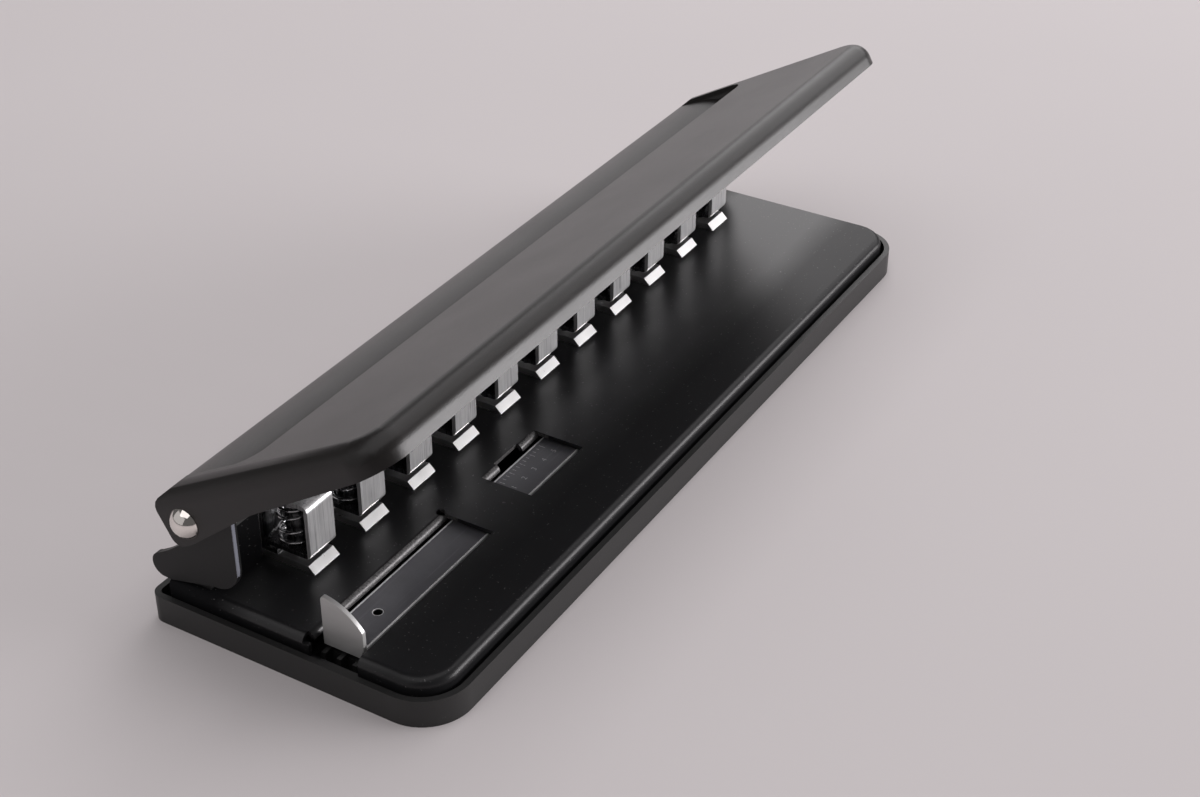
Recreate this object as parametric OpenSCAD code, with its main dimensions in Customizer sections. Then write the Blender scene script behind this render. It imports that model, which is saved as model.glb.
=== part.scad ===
// Disc binding punch for A4 sheets: eleven mushroom punches pressed by one long handle.
// Millimetres. X runs along the row of punches, +Y points to the hinge at the rear, +Z is up.
// The origin is on the table, at the middle of the base. The handle stands open.

/* [Base] */
// Overhang of the tray beyond each end of the sheet
base_margin = 12.5; // [12:0.5:20]
// Depth of the tray from front to rear
base_d = 105; // [100:1:130]
// Height of the tray rim above the table
tray_h = 9.6; // [8:0.1:11]
// Thickness of the tray rim
tray_wall = 2; // [1.5:0.1:3]
// Thickness of the tray floor
tray_floor = 1.6; // [1.2:0.1:2.5]
// Height of the ledge in the tray that carries the plate
ledge_h = 4; // [3:0.1:6]
// Width of that ledge, measured from the rim
ledge_w = 4.5; // [3.5:0.1:8]
// Corner radius at the front of the tray
tray_front_r = 16; // [10:0.5:24]
// Corner radius at the rear of the tray
tray_rear_r = 4; // [3:0.5:12]
// Gap between the tray rim and the wall of the plate
rim_gap = 1.5; // [0.5:0.1:2]
// Thickness of the ribs in the tray under the gauge stop
rib_t = 1.5; // [1:0.1:2]
// Length of those ribs
rib_l = 8; // [6:0.5:12]
// Height of the ribs above the table
rib_top = 8; // [6.8:0.1:8.6]
// Height of the plate's top face above the table
plate_top = 14; // [13:0.1:17]
// Sheet thickness of the plate
plate_t = 1.5; // [1.2:0.1:2]
// Outer radius of the plate's rolled edges
plate_edge_r = 3; // [2.5:0.1:4]

/* [Gauge] */
// Distance of the sheet's ends from the outer pins
sheet_margin = 21.5; // [18:0.5:24]
// Rear edge of the gauge windows, ahead of the middle of the base
window_rear = 4.9; // [4:0.1:5.6]
// Front-to-back size of the long window
window_d = 17.4; // [17:0.1:20]
// Length of the long window from the left end of the plate
window_l = 70; // [62:1:74]
// Web of plate between the two windows
window_web = 22; // [18:1:26]
// Length of the short window
short_window_l = 31.5; // [26:0.5:34]
// Outer radius of the lip curled down behind each window
window_lip_r = 2.3; // [2:0.1:2.4]
// Distance of the middle of the notch in the lip from the left end of the short window
notch_from = 15.2; // [10:0.1:21]
// Width of the notch in the lip of the short window
notch_w = 13.4; // [8:0.1:16]
// Depth of that notch behind the lip's front edge
notch_d = 2.5; // [2.4:0.1:3.2]
// Diameter of the relief hole at the end of the long window's lip
relief_d = 3.2; // [2.4:0.1:4]
// Width of the gauge strip
strip_w = 13.9; // [11:0.1:14]
// Length of the gauge strip
strip_l = 131; // [126:1:140]
// Thickness of the gauge strip
strip_t = 1.5; // [1:0.1:2]
// Gap between the strip and the plate above it
strip_play = 0.7; // [0.4:0.05:1]
// Running gap between the strip and its guides
guide_play = 0.3; // [0.2:0.05:0.5]
// Sheet thickness of the guides
guide_t = 1; // [0.8:0.1:1.4]
// Length of each guide along the strip
guide_l = 10; // [6:1:13]
// Diameter of the hole in the strip
strip_hole_d = 3; // [2:0.1:4]
// Height of the stop tab above the plate
stop_h = 12.7; // [9:0.1:16]
// Thickness of the stop tab
stop_t = 1.5; // [1:0.1:2]
// Distance of the stop at rest beyond the end of a sheet
gauge_lead = 2.1; // [0:0.1:2.6]
// Radius of the stop tab's curved front edge
stop_curve_r = 19; // [16:0.5:22]

/* [Punch units] */
// Number of punches
unit_count = 11; // [8:1:11]
// Distance between punches
pitch = 25.4; // [24:0.1:26]
// Width of each frame and die
unit_w = 12.1; // [11.8:0.1:14]
// Depth of each frame
unit_d = 19.2; // [18:0.1:20]
// Distance of the pin axes behind the middle of the base
unit_y = 21.8; // [21:0.1:22.6]
// Height of the die above the plate
die_h = 2.4; // [2:0.1:3]
// Reach of the die's toe ahead of the frame
toe_reach = 0.9; // [0.5:0.1:2]
// Run of the bevel on the toe
toe_bevel = 2.4; // [1.5:0.1:3]
// Height of the paper slot
slot_h = 2.5; // [2.2:0.1:3]
// Strip thickness of the frame
frame_t = 1.5; // [1.2:0.1:1.8]
// Outer bend radius of the frame
frame_bend = 2.4; // [2:0.1:3]
// Length of the cut from the sheet edge to the tip of the mushroom
cut_depth = 8; // [7:0.1:8.2]
// Width of the mushroom's head
cut_head_w = 6.2; // [5:0.1:6.6]
// Length of the mushroom's head
cut_head_l = 4; // [3.6:0.1:4.6]
// Width of the mushroom's stem
cut_stem_w = 1.3; // [1:0.1:2]
// Working gap round the cutter in its die and frame
cut_play = 0.12; // [0.08:0.01:0.2]
// Diameter of the pin's button
button_d = 8.2; // [8.2:0.1:9]
// Diameter of the flange that the spring lifts
flange_d = 11.2; // [10.4:0.1:11.6]
// Thickness of that flange
flange_t = 1.3; // [1:0.1:1.8]
// Stroke of the pins
travel = 8; // [6:0.1:8.2]
// Height of a pressed button above its frame
button_stand = 0.5; // [0.3:0.1:1]
// Outer diameter of the return springs
spring_od = 11.7; // [11.5:0.1:12]
// Wire diameter of the return springs
wire_d = 1.15; // [1:0.05:1.2]
// Working turns of each spring
working_turns = 1.9; // [1.5:0.1:2.2]
// Rise of a closed end turn
end_rise = 1.75; // [1.7:0.05:1.9]
// Diameter of the unit rivets
rivet_d = 2.4; // [2:0.1:2.8]
// Spacing of the two rivets of a unit
rivet_spacing = 7.2; // [6.5:0.1:7.4]

/* [Hinge] */
// Distance of the pivot ahead of the rear of the tray
pivot_inset = 17.1; // [16.6:0.1:17.6]
// Height of the pivot above the table
pivot_z = 41; // [40.2:0.1:42]
// Diameter of the pivot screws
pivot_d = 6; // [5:0.1:6.4]
// Running gap round the pivot screws, on the radius
pivot_play = 0.05; // [0.03:0.01:0.08]
// Diameter of the pivot screws' heads
pivot_head_d = 10.3; // [9.5:0.1:11]
// Height of those heads
pivot_head_h = 3.3; // [2.8:0.1:4]
// Sheet thickness of the brackets
bracket_t = 2; // [1.5:0.1:2.5]
// Distance of the brackets from the ends of the plate
bracket_inset = 1; // [0.6:0.1:3]
// Radius of the bracket's eye round the pivot
eye_r = 6; // [5.4:0.1:6.2]
// Reach of the bracket ahead of the pivot
bracket_reach = 15.4; // [14.5:0.1:16.5]
// Rise of the bracket's shoulder above the pivot
bracket_rise = 5.5; // [5:0.1:5.8]
// Height of the bracket's lower front corner above the plate
bracket_arch = 4.2; // [3:0.1:6]
// Radius of that corner
bracket_corner_r = 9.5; // [7:0.1:11]
// Radius of the bracket's nose behind the base
nose_r = 4.4; // [4:0.1:6]
// Overhang of that nose behind the tray
nose_overhang = 1.1; // [0:0.1:2]
// Length of the bracket's foot along Y
foot_l = 14; // [12:0.5:16]
// Width of the bracket's foot along X
foot_w = 12; // [9:0.5:14]
// Diameter of the foot screws
foot_screw_d = 3; // [2.5:0.1:3.5]
// Thickness of the spacers between ears and brackets
washer_t = 1.4; // [1:0.1:2]

/* [Handle] */
// Slope of the open handle's panel
open_angle = 29.5; // [28:0.1:31]
// Sheet thickness of the handle
handle_t = 1.6; // [1.2:0.1:1.8]
// Height of the panel above the pivot, square to the panel
panel_rise = 11.4; // [11:0.1:12.6]
// Reach of the handle ahead of the pivot
handle_reach = 85.5; // [80:0.5:95]
// Reach of the handle behind the pivot
handle_back = 8.6; // [8.4:0.1:9.5]
// Distance of the panel's rear bend ahead of the pivot
rear_bend = 1.7; // [0:0.1:3]
// Height of the rear edge above the pivot, square to the panel
rear_rise = 8.5; // [8:0.1:9.5]
// Size of the rounding on the rear edge
rear_edge = 1.6; // [1:0.1:2.2]
// Drop of the ears below the pivot
skirt_drop = 7; // [6.6:0.1:8]
// Distance of the bend in the lower edge ahead of the pivot
skirt_bend = 29.3; // [24:0.1:34]
// Drop of that bend below the pivot
bend_drop = 1.5; // [0.5:0.1:3]
// Height of the front lip's lower edge above the pivot
lip_rise = 2.2; // [1:0.1:3]
// Radius of the panel's front and side edges
handle_edge_r = 6.5; // [5:0.1:7]
// Corner radius at the front of the handle
handle_corner_r = 12.5; // [8:0.5:18]
// Distance of the trough's front wall ahead of the pivot
trough_front = 29.5; // [27:0.1:32]
// Depth of the trough below the panel
trough_depth = 4.2; // [3.4:0.1:4.4]
// Distance of the trough's ends from the ends of the handle
trough_end_gap = 8; // [7:0.5:24]
// Radius between the trough's walls and its floor
trough_fillet = 2.6; // [2:0.1:3.2]
// Corner radius of the trough
trough_corner_r = 8; // [7:0.1:9]
// Height of the ridge behind the trough above the pivot
ridge_rise = 10; // [9.6:0.1:10.6]
// Radius of that ridge
ridge_r = 55; // [45:1:70]
// Radius of the press bar's nose
press_nose_r = 3; // [2.5:0.1:3.4]
// Angle between the panel and the line from the pivot to that nose
press_angle = 5.5; // [5:0.1:6]
// Distance of the open press bar behind the pin axes
press_lead = 0.9; // [0:0.1:1.4]
// Gap between the press bar and the buttons
press_gap = 0.1; // [0.05:0.01:0.3]
// Overhang of the press bar beyond the outer pins
press_overhang = 11; // [6:0.5:12]

/* [Hidden] */
$fn = 48;
eps = 0.01;
fit = 0.05;
running = 0.3;

sheet_w = (unit_count - 1) * pitch + 2 * sheet_margin;
half_w = sheet_w / 2 + base_margin;
half_d = base_d / 2;
rim_inset = tray_wall + rim_gap;
plate_half_w = half_w - rim_inset;
plate_half_d = half_d - rim_inset;
plate_front_r = tray_front_r - rim_inset;
plate_rear_r = max(tray_rear_r - rim_inset, plate_edge_r);
plate_under = plate_top - plate_t;

// Gauge
window_front = -window_rear - window_d;
short_window_x = -plate_half_w + window_l + window_web;
lip_top_y = window_lip_r - window_rear;
strip_top = plate_under - strip_play;
strip_y = -window_rear - window_d / 2 + 0.45;
strip_x = fit - sheet_w / 2 - gauge_lead;
stop_foot_t = 1.2;
stop_foot_l = 9;
stop_tail = 0.6;
stop_corner_r = 1.3;
guide_flange = 3.4;
guide_web_x = -plate_half_w + window_l + window_web / 2;
guide_far_x = short_window_x + short_window_l + guide_l / 2 + 3;
strip_hole_x = strip_x + 15.4;

// Punch units
unit_front = unit_y - unit_d / 2;
unit_rear = unit_front + unit_d;
die_front = unit_front - toe_reach;
die_top = plate_top + die_h;
shelf_z = die_top + slot_h;
shelf_top = shelf_z + frame_t;
pivot_y = half_d - pivot_inset;
press_slope = open_angle + press_angle;
press_u = (pivot_y - unit_y - press_lead) / cos(press_slope);
button_top = pivot_z + press_u * sin(press_slope) - press_nose_r - press_gap;
frame_top = button_top - travel - button_stand;
frame_inner_r = frame_bend - frame_t;
flange_top = frame_top - frame_t - running;
spring_top = flange_top - flange_t - fit;
spring_foot = shelf_top + fit;
head_r = cut_head_w / 2;
head_y = unit_y - cut_depth / 2 + head_r;
cut_rear = unit_y + cut_depth / 2;
cut_tip_z = shelf_z + fit;
paper_stop_y = cut_rear - 0.5;
rivet_head_d = rivet_d + 1.4;
rivet_y = unit_rear - frame_t - rivet_head_d / 2 - 2 * fit;
rivet_head_h = 0.8;
chip_hole_d = cut_depth + 2;

// Springs
spring_r = (spring_od - wire_d) / 2;
end_turns = 1;
spring_turns = working_turns + 2 * end_turns;
curl_rings = 8;
wire_sides = 6;
spring_low = spring_foot + wire_d / 2;
spring_high = spring_top - wire_d / 2;
working_rise = (spring_high - spring_low - 2 * end_turns * end_rise) / working_turns;

// Hinge and handle
bracket_x = plate_half_w - bracket_inset;
ear_in = bracket_x + washer_t + 2 * fit;
handle_half_w = ear_in + handle_t;
press_half_l = (unit_count - 1) / 2 * pitch + press_overhang;
ear_r = skirt_drop / 2;
trough_floor = panel_rise - trough_depth;
trough_half_l = handle_half_w - trough_end_gap;
foot_y = plate_half_d - plate_edge_r / 2 - foot_l;
foot_screw_x = bracket_x - bracket_t - foot_w / 2;
slot_margin = 0.6;

function unit_x(i) = (i - (unit_count + 1) / 2) * pitch;
function numbered(name, i) = str(name, i < 10 ? "_0" : "_", i);
function numbered_all(name) = [for (i = [1:unit_count]) numbered(name, i)];

// Extrudes a profile drawn in (y, z) along X, centred on the middle plane
module along_x(length) {
    rotate([90, 0, 90])
        linear_extrude(length, center = true)
            children();
}

// Extrudes a profile drawn in (x, z) along Y, from y0 to y1
module along_y(y0, y1) {
    translate([0, y1, 0])
        rotate([90, 0, 0])
            linear_extrude(y1 - y0)
                children();
}

// Rectangle with four round corners, standing on z = 0 as a profile
module round_rect(x0, x1, y0, y1, r) {
    translate([x0 + r, y0])
        square([x1 - x0 - 2 * r, y1 - y0]);
    translate([x0, y0 + r])
        square([x1 - x0, y1 - y0 - 2 * r]);
    for (x = [x0 + r, x1 - r])
        for (y = [y0 + r, y1 - r])
            translate([x, y])
                circle(r);
}

// Plan of the base: large corners in front, small ones behind
module base_plan(half_x, half_y, front_r, rear_r) {
    translate([-half_x, -half_y + front_r])
        square([2 * half_x, 2 * half_y - front_r - rear_r]);
    translate([-half_x + front_r, -half_y])
        square([2 * (half_x - front_r), 2 * half_y - rear_r]);
    translate([-half_x + rear_r, half_y - 2 * rear_r])
        square([2 * (half_x - rear_r), 2 * rear_r]);
    for (side = [-1, 1]) {
        translate([side * (half_x - front_r), -half_y + front_r])
            circle(front_r);
        translate([side * (half_x - rear_r), half_y - rear_r])
            circle(rear_r);
    }
}

// Post of radius r with its top edge rounded
module round_post(r, edge_r, z0, z1) {
    rotate_extrude() {
        translate([0, z0])
            square([r, z1 - edge_r - z0]);
        translate([0, z0])
            square([r - edge_r + eps, z1 - z0]);
        intersection() {
            translate([r - edge_r, z1 - edge_r])
                circle(edge_r);
            translate([0, z1 - edge_r])
                square([r, edge_r]);
        }
    }
}

// Profile of a wall-to-wall section with both top corners rounded
module crowned(a, b, edge_r, z0, z1) {
    translate([a, z0])
        square([b - a, z1 - edge_r - z0]);
    translate([a + edge_r, z0])
        square([b - a - 2 * edge_r, z1 - z0]);
    for (c = [a + edge_r, b - edge_r])
        translate([c, z1 - edge_r])
            circle(edge_r);
}

// Block with round corners in plan and a rounded top edge all the way round
module pressed_block(half_x, y0, y1, front_r, rear_r, edge_r, z0, z1) {
    for (side = [-1, 1]) {
        translate([side * (half_x - front_r), y0 + front_r, 0])
            round_post(front_r, edge_r, z0, z1);
        translate([side * (half_x - rear_r), y1 - rear_r, 0])
            round_post(rear_r, edge_r, z0, z1);
    }
    along_y(y0 + front_r, y1 - rear_r)
        crowned(-half_x, half_x, edge_r, z0, z1);
    intersection() {
        along_x(2 * (half_x - front_r))
            crowned(y0, y1, edge_r, z0, z1);
        translate([-half_x, y0 - eps, z0 - eps])
            cube([2 * half_x, (y1 - y0) / 2, z1 - z0 + 2 * eps]);
    }
    intersection() {
        along_x(2 * (half_x - rear_r))
            crowned(y0, y1, edge_r, z0, z1);
        translate([-half_x, (y0 + y1) / 2 - 1, z0 - eps])
            cube([2 * half_x, (y1 - y0) / 2 + 2, z1 - z0 + 2 * eps]);
    }
}

// Ribs on the tray floor, seen through the cut-out in the end of the plate
module tray_ribs() {
    translate([tray_wall + ledge_w - half_w - eps, strip_y, tray_floor - eps]) {
        for (y = [-0.4, 0, 0.4])
            translate([0, y * strip_w - rib_t / 2, 0])
                cube([rib_l, rib_t, rib_top - tray_floor]);
        translate([0.4 * rib_l, -0.4 * strip_w, 0])
            cube([rib_t, 0.8 * strip_w, 0.8 * (rib_top - tray_floor)]);
    }
}

module base_tray() {
    color([0.06, 0.06, 0.065]) {
        tray_ribs();
        difference() {
            linear_extrude(tray_h)
                base_plan(half_w, half_d, tray_front_r, tray_rear_r);
            translate([0, 0, ledge_h])
                linear_extrude(tray_h)
                    base_plan(half_w - tray_wall, half_d - tray_wall, tray_front_r - tray_wall,
                              tray_rear_r - tray_wall);
            translate([0, 0, tray_floor])
                linear_extrude(tray_h)
                    base_plan(half_w - tray_wall - ledge_w, half_d - tray_wall - ledge_w,
                              tray_front_r - tray_wall - ledge_w, 1);
        }
    }
}

// Quarter round lip that curls down behind a window
module window_lip(x0, x1) {
    translate([(x0 + x1) / 2, 0, 0])
        along_x(x1 - x0)
            intersection() {
                translate([lip_top_y, plate_top - window_lip_r])
                    difference() {
                        circle(window_lip_r);
                        circle(window_lip_r - plate_t);
                    }
                translate([lip_top_y - window_lip_r, plate_top - window_lip_r])
                    square([window_lip_r + eps, window_lip_r]);
            }
}

module window_cut(x0, x1, y1) {
    translate([x0, window_front, plate_under - 1])
        cube([x1 - x0, y1 - window_front, plate_t + 2]);
}

module base_plate() {
    long_end = -plate_half_w + window_l;
    short_end = short_window_x + short_window_l;
    notch_x = short_window_x + notch_from;
    color([0.05, 0.05, 0.055])
        difference() {
            union() {
                difference() {
                    pressed_block(plate_half_w, -plate_half_d, plate_half_d, plate_front_r, plate_rear_r,
                                  plate_edge_r, ledge_h, plate_top);
                    pressed_block(plate_half_w - plate_t, -plate_half_d + plate_t, plate_half_d - plate_t,
                                  plate_front_r - plate_t, plate_rear_r - plate_t,
                                  plate_edge_r - plate_t, ledge_h - 1, plate_under);
                    window_cut(-plate_half_w - 1, long_end, lip_top_y);
                    window_cut(short_window_x, short_end, lip_top_y);
                    translate([-plate_half_w - 1, window_front, tray_h - 2.4])
                        cube([plate_edge_r + 2, window_d, plate_top]);
                }
                window_lip(-plate_half_w + plate_edge_r, long_end);
                window_lip(short_window_x, short_end);
            }
            translate([long_end, lip_top_y, plate_under - 1])
                cylinder(plate_t + 2, d = relief_d);
            translate([notch_x - notch_w / 2, -window_rear - 1, plate_top - window_lip_r - 1])
                cube([notch_w, notch_d + 1, window_lip_r + 2]);
            for (i = [1:unit_count])
                translate([unit_x(i), 0, plate_under - 1]) {
                    translate([0, unit_y, 0])
                        cylinder(plate_t + 2, d = chip_hole_d);
                    for (side = [-1, 1])
                        translate([side * rivet_spacing / 2, rivet_y, 0])
                            cylinder(plate_t + 2, d = rivet_d + 2 * fit);
                }
            foot_screw_places()
                translate([0, 0, plate_under - 1])
                    cylinder(plate_t + 2, d = foot_screw_d + 2 * fit);
        }
}

// Repeats its children at the four foot screws
module foot_screw_places() {
    for (side = [-1, 1])
        for (y = [foot_y + foot_l / 4, foot_y + 0.75 * foot_l])
            translate([side * foot_screw_x, y, 0])
                children();
}

// Side view of a bracket: eye, shoulder, round lower front corner and nose
module bracket_outline() {
    nose_y = half_d + nose_overhang - nose_r;
    nose_z = plate_top + nose_r;
    front_y = pivot_y - bracket_reach;
    corner_z = plate_top + bracket_arch + bracket_corner_r;
    polygon([
        [front_y, pivot_z + bracket_rise], [front_y, corner_z],
        [front_y + bracket_corner_r, corner_z - bracket_corner_r], [nose_y - 0.6 * nose_r, plate_top],
        [nose_y, plate_top], [nose_y + 0.7 * nose_r, nose_z + 0.7 * nose_r],
        [nose_y - 0.6 * nose_r, nose_z + 1.5 * nose_r], [pivot_y + eye_r, nose_z + 2.4 * nose_r],
        [pivot_y + eye_r, pivot_z], [pivot_y, pivot_z + bracket_rise]]);
    translate([front_y + bracket_corner_r, corner_z])
        circle(bracket_corner_r);
    translate([nose_y, nose_z])
        circle(nose_r);
    translate([pivot_y, pivot_z])
        circle(eye_r);
}

// Bracket at the right end; the left one is its mirror image
module hinge_bracket() {
    difference() {
        union() {
            translate([bracket_x - bracket_t / 2, 0, 0])
                along_x(bracket_t)
                    bracket_outline();
            translate([bracket_x - bracket_t - foot_w, foot_y, plate_top])
                cube([foot_w + eps, foot_l, bracket_t]);
        }
        translate([bracket_x - bracket_t - 1, pivot_y, pivot_z])
            rotate([0, 90, 0])
                cylinder(bracket_t + 2, d = pivot_d + 2 * fit);
        foot_screw_places()
            translate([0, 0, plate_top - 1])
                cylinder(bracket_t + 2, d = foot_screw_d + 2 * fit);
    }
}

module hinge_bracket_left() {
    color([0.07, 0.07, 0.075])
        mirror([1, 0, 0])
            hinge_bracket();
}

module hinge_bracket_right() {
    color([0.07, 0.07, 0.075])
        hinge_bracket();
}

module bracket_screws() {
    head_d = 2 * foot_screw_d;
    head_h = 0.6 * foot_screw_d;
    color([0.12, 0.12, 0.12])
        foot_screw_places() {
            translate([0, 0, plate_under - foot_screw_d])
                cylinder(plate_t + bracket_t + foot_screw_d, d = foot_screw_d);
            translate([0, 0, plate_top + bracket_t])
                difference() {
                    cylinder(head_h, d = head_d);
                    translate([0, 0, head_h / 2])
                        for (turn = [0, 90])
                            rotate(turn)
                                translate([-head_d / 3, -head_d / 15, 0])
                                    cube([head_d / 1.5, head_d / 7.5, head_h]);
                }
        }
}

// Repeats its children on the pivot axis at both ends, with +Z pointing outwards
module pivot_ends() {
    for (side = [0, 1])
        mirror([side, 0, 0])
            translate([0, pivot_y, pivot_z])
                rotate([0, 90, 0])
                    children();
}

module pivot_screws() {
    nut_space = 0.8 * pivot_d;
    shank = handle_half_w - bracket_x + bracket_t + nut_space + fit + 0.8;
    dome_r = (pow(pivot_head_d / 2, 2) + pow(pivot_head_h, 2)) / (2 * pivot_head_h);
    color([0.85, 0.83, 0.8])
        pivot_ends()
            translate([0, 0, handle_half_w + fit]) {
                translate([0, 0, -shank])
                    cylinder(shank + eps, d = pivot_d);
                intersection() {
                    cylinder(2 * pivot_head_h, r = dome_r);
                    translate([0, 0, pivot_head_h - dome_r])
                        sphere(dome_r);
                }
            }
}

module pivot_washers() {
    color([0.8, 0.79, 0.76])
        pivot_ends()
            translate([0, 0, bracket_x + fit])
                difference() {
                    cylinder(washer_t, d = pivot_d + 4);
                    translate([0, 0, -1])
                        cylinder(washer_t + 2, d = pivot_d + 2 * fit);
                }
}

module pivot_nuts() {
    height = 0.8 * pivot_d;
    color([0.7, 0.7, 0.7])
        pivot_ends()
            translate([0, 0, bracket_x - bracket_t - height])
                difference() {
                    cylinder(height, d = 1.66 * pivot_d / cos(30), $fn = 6);
                    translate([0, 0, -1])
                        cylinder(height + 2, d = pivot_d + 2 * fit);
                }
}

// Places what is drawn in the handle's own frame: pivot at the origin, panel level, front at -Y
module on_handle() {
    translate([0, pivot_y, pivot_z])
        rotate([-open_angle, 0, 0])
            children();
}

// Side view of the handle: panel, slope to the rear edge, ear and bent lower edge
module handle_side(inset) {
    back = handle_back - inset;
    top = panel_rise - inset;
    reach = handle_reach + 1;
    slope = atan((panel_rise - rear_rise) / (handle_back + rear_bend));
    fall = inset / cos(slope);
    corner = [handle_back, rear_rise];
    start = corner + rear_edge * [-cos(slope), sin(slope)];
    end = corner - [0, rear_edge];
    ear_z = ear_r - skirt_drop;
    outer = [[-rear_bend, top], start, 0.28 * (start + end) + 0.44 * corner, end,
        [back, ear_z], [back - ear_r, -skirt_drop], [ear_r / 2, -skirt_drop],
        [-skirt_bend, -bend_drop], [-reach, lip_rise]];
    inner = [[handle_back - (top - rear_rise + fall) / tan(slope), top],
        [back, rear_rise + inset * tan(slope) - fall], [back, -reach / 2], [-reach, -reach / 2]];
    polygon(concat([[-reach, top]], inset > 0 ? inner : outer));
    if (inset == 0)
        translate([back - ear_r, ear_z])
            circle(ear_r);
}

module handle_block(inset) {
    intersection() {
        pressed_block(handle_half_w - inset, -handle_reach + inset, handle_back + 3 * handle_corner_r,
                      handle_corner_r - inset, handle_corner_r, handle_edge_r - inset,
                      -handle_reach, panel_rise - inset);
        along_x(2 * handle_half_w + 2)
            handle_side(inset);
    }
}

// Long hollow pressed into the panel, from its front wall to the low ridge behind it, grown on all sides
module trough(grow) {
    difference() {
        mirror([0, 0, 1])
            pressed_block(trough_half_l + grow, -trough_front - grow, 3 * handle_back,
                          trough_corner_r + grow, trough_corner_r, trough_fillet + grow,
                          -2 * panel_rise, grow - trough_floor);
        translate([0, 0, ridge_rise - ridge_r])
            rotate([0, 90, 0])
                cylinder(2 * handle_half_w, r = ridge_r - grow, center = true, $fn = 240);
    }
}

module handle() {
    slot_in = bracket_x - bracket_t - slot_margin;
    color([0.16, 0.16, 0.165])
        on_handle()
            difference() {
                union() {
                    difference() {
                        handle_block(0);
                        handle_block(handle_t);
                    }
                    intersection() {
                        handle_block(0);
                        trough(handle_t);
                    }
                }
                trough(0);
                for (side = [0, 1])
                    mirror([side, 0, 0]) {
                        translate([slot_in, 0, -skirt_drop - 2])
                            cube([ear_in - slot_in, handle_back + 1, skirt_drop + eye_r - 1]);
                        translate([ear_in - 1, 0, 0])
                            rotate([0, 90, 0])
                                cylinder(handle_t + 2, d = pivot_d + 2 * pivot_play);
                    }
            }
}

module press_bar() {
    nose_u = press_u * cos(press_angle);
    nose_v = press_u * sin(press_angle);
    color([0.3, 0.3, 0.31])
        on_handle()
            difference() {
                along_x(2 * press_half_l) {
                    translate([-nose_u - press_nose_r, nose_v])
                        square([2 * press_nose_r, panel_rise - nose_v]);
                    translate([-nose_u, nose_v])
                        circle(press_nose_r);
                }
                trough(handle_t + fit);
            }
}

module gauge_strip() {
    color([0.11, 0.11, 0.12])
        difference() {
            translate([strip_x, strip_y - strip_w / 2, strip_top - strip_t])
                cube([strip_l, strip_w, strip_t]);
            translate([strip_hole_x, strip_y, strip_top - strip_t - 1])
                cylinder(strip_t + 2, d = strip_hole_d);
        }
}

// Upright tab with a curved front edge, on a foot welded under the strip
module gauge_stop() {
    tab_x = strip_x - fit - stop_t;
    foot_z = strip_top - strip_t - stop_foot_t;
    rear = strip_y + strip_w / 2;
    front = strip_y - strip_w / 2 - stop_tail;
    top = plate_top + stop_h;
    crest = [rear - stop_corner_r, top];
    chin = [front, plate_top + 0.35 * stop_h];
    chord = crest - chin;
    sag = sqrt(pow(stop_curve_r, 2) - pow(norm(chord) / 2, 2));
    curve_centre = (crest + chin) / 2 + sag * [chord.y, -chord.x] / norm(chord);
    color([0.82, 0.82, 0.82]) {
        translate([tab_x + stop_t / 2, 0, 0])
            along_x(stop_t)
                intersection() {
                    union() {
                        translate([front, strip_top])
                            square([rear - front - stop_corner_r, top - strip_top]);
                        translate([front, strip_top])
                            square([rear - front, top - stop_corner_r - strip_top]);
                        translate([rear - stop_corner_r, top - stop_corner_r])
                            circle(stop_corner_r);
                        translate([strip_y - strip_w / 2, foot_z])
                            square([strip_w, strip_top - foot_z + eps]);
                    }
                    translate(curve_centre)
                        circle(stop_curve_r);
                }
        translate([tab_x, strip_y - strip_w / 2, foot_z])
            cube([stop_foot_l, strip_w, stop_foot_t]);
    }
}

// Folded strap that hangs under the plate and carries the strip
module guide_profile() {
    half = strip_w / 2 + guide_play;
    floor_z = strip_top - strip_t - guide_play - guide_t;
    difference() {
        union() {
            translate([strip_y - half - guide_t, floor_z])
                square([2 * (half + guide_t), plate_under - floor_z]);
            translate([strip_y - half - guide_t - guide_flange, plate_under - guide_t])
                square([2 * (half + guide_t + guide_flange), guide_t]);
        }
        translate([strip_y - half, floor_z + guide_t])
            square([2 * half, plate_under]);
    }
}

module gauge_guides() {
    color([0.5, 0.5, 0.5])
        for (x = [guide_web_x, guide_far_x])
            translate([x, 0, 0])
                along_x(guide_l)
                    guide_profile();
}

module unit_rivets() {
    foot_top = die_top + frame_t;
    color([0.75, 0.75, 0.75])
        for (i = [1:unit_count])
            for (side = [-1, 1])
                translate([unit_x(i) + side * rivet_spacing / 2, rivet_y, 0]) {
                    translate([0, 0, plate_under - rivet_head_h])
                        cylinder(foot_top - plate_under + 2 * rivet_head_h, d = rivet_d);
                    for (z = [plate_under - rivet_head_h, foot_top])
                        translate([0, 0, z])
                            cylinder(rivet_head_h, d = rivet_head_d);
                }
}

// Mushroom outline of the cut, drawn round the pin axis at the origin, grown by play
module mushroom(play) {
    centre = head_y - unit_y;
    intersection() {
        translate([0, centre])
            circle(head_r + play);
        translate([-head_r - 1, centre - head_r - 1])
            square([2 * head_r + 2, cut_head_l + 1 + play]);
    }
    translate([-cut_stem_w / 2 - play, centre])
        square([cut_stem_w + 2 * play, cut_rear - head_y + play]);
}

module rivet_holes(z0, z1) {
    for (side = [-1, 1])
        translate([side * rivet_spacing / 2, rivet_y, z0])
            cylinder(z1 - z0, d = rivet_d + 2 * fit);
}

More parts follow.
